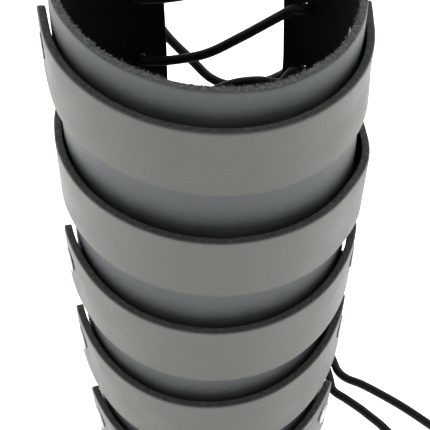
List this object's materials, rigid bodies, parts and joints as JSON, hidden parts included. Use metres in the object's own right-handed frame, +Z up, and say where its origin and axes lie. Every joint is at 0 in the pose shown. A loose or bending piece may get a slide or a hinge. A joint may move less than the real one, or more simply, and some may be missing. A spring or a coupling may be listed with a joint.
{
  "type": "leather forearm gauntlet",
  "caption": "Rolled leather forearm guard with wide straps riveted across the front and a round cord laced up the open back.",
  "frame": {"origin": "middle of the lower rim's plane, on the floor, centred on the gauntlet without the free lace ends", "axes": "+Z up the forearm to the sloping upper rim, -Y towards the strapped front, +X to the viewer's right"},
  "size_m": [0.1613, 0.1371, 0.2335],
  "materials": {
    "panel_leather": "black dyed smooth-grain hide with a suede-like flesh side and raw cut edges",
    "strap_leather": "black dyed smooth-grain hide with a soft sheen and dark cut edges",
    "rivet_metal": "nickel plated rivet caps with a soft polish",
    "lace_cord": "black round leather lace, slightly waxed"
  },
  "bodies": {
    "root": {"arm_panel": "panel_leather", "strap_1": "strap_leather", "strap_2": "strap_leather", "strap_3": "strap_leather", "strap_4": "strap_leather", "strap_5": "strap_leather", "rivet_1_left": "rivet_metal", "rivet_1_right": "rivet_metal", "rivet_2_left": "rivet_metal", "rivet_2_right": "rivet_metal", "rivet_3_left": "rivet_metal", "rivet_3_right": "rivet_metal", "rivet_4_left": "rivet_metal", "rivet_4_right": "rivet_metal", "rivet_5_left": "rivet_metal", "rivet_5_right": "rivet_metal", "lace": "lace_cord", "lace_end_outer": "lace_cord", "lace_end_inner": "lace_cord"}
  },
  "joints": []
}
